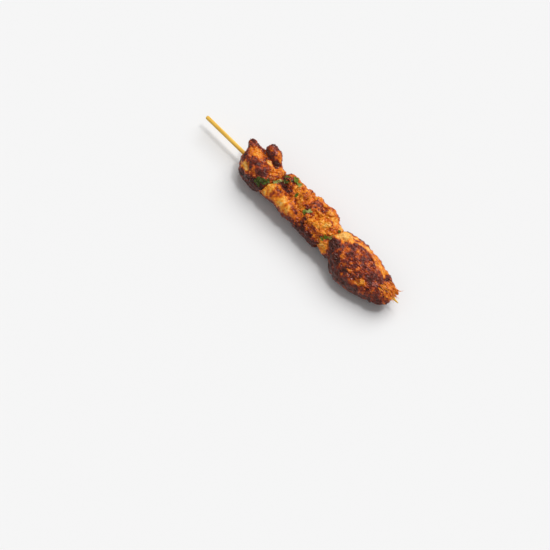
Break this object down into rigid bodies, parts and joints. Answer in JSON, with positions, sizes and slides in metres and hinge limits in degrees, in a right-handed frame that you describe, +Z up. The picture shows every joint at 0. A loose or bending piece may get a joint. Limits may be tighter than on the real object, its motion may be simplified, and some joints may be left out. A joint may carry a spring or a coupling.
{
  "type": "chicken kebab skewer",
  "caption": "Grilled chicken kebab on a straight bamboo stick: a folded glazed piece, a golden ragged piece and a dark-crusted piece, lying with the browned side up.",
  "frame": {"origin": "centre of the whole skewer's box, at the level of the surface it lies on", "axes": "+X along the stick from the handle end to the sharpened tip, +Y across it towards the side with the two curled ears, +Z up, out of the browned show side"},
  "size_m": [0.2, 0.0372, 0.0248],
  "materials": {
    "bamboo": "split bamboo, dry and lightly polished, with fine lengthwise fibres",
    "glazed_meat": null,
    "golden_meat": null,
    "crusted_meat": null
  },
  "bodies": {
    "root": {"bamboo_stick": "bamboo", "heel_piece": "glazed_meat", "middle_piece": "golden_meat", "end_piece": "crusted_meat"}
  },
  "joints": []
}
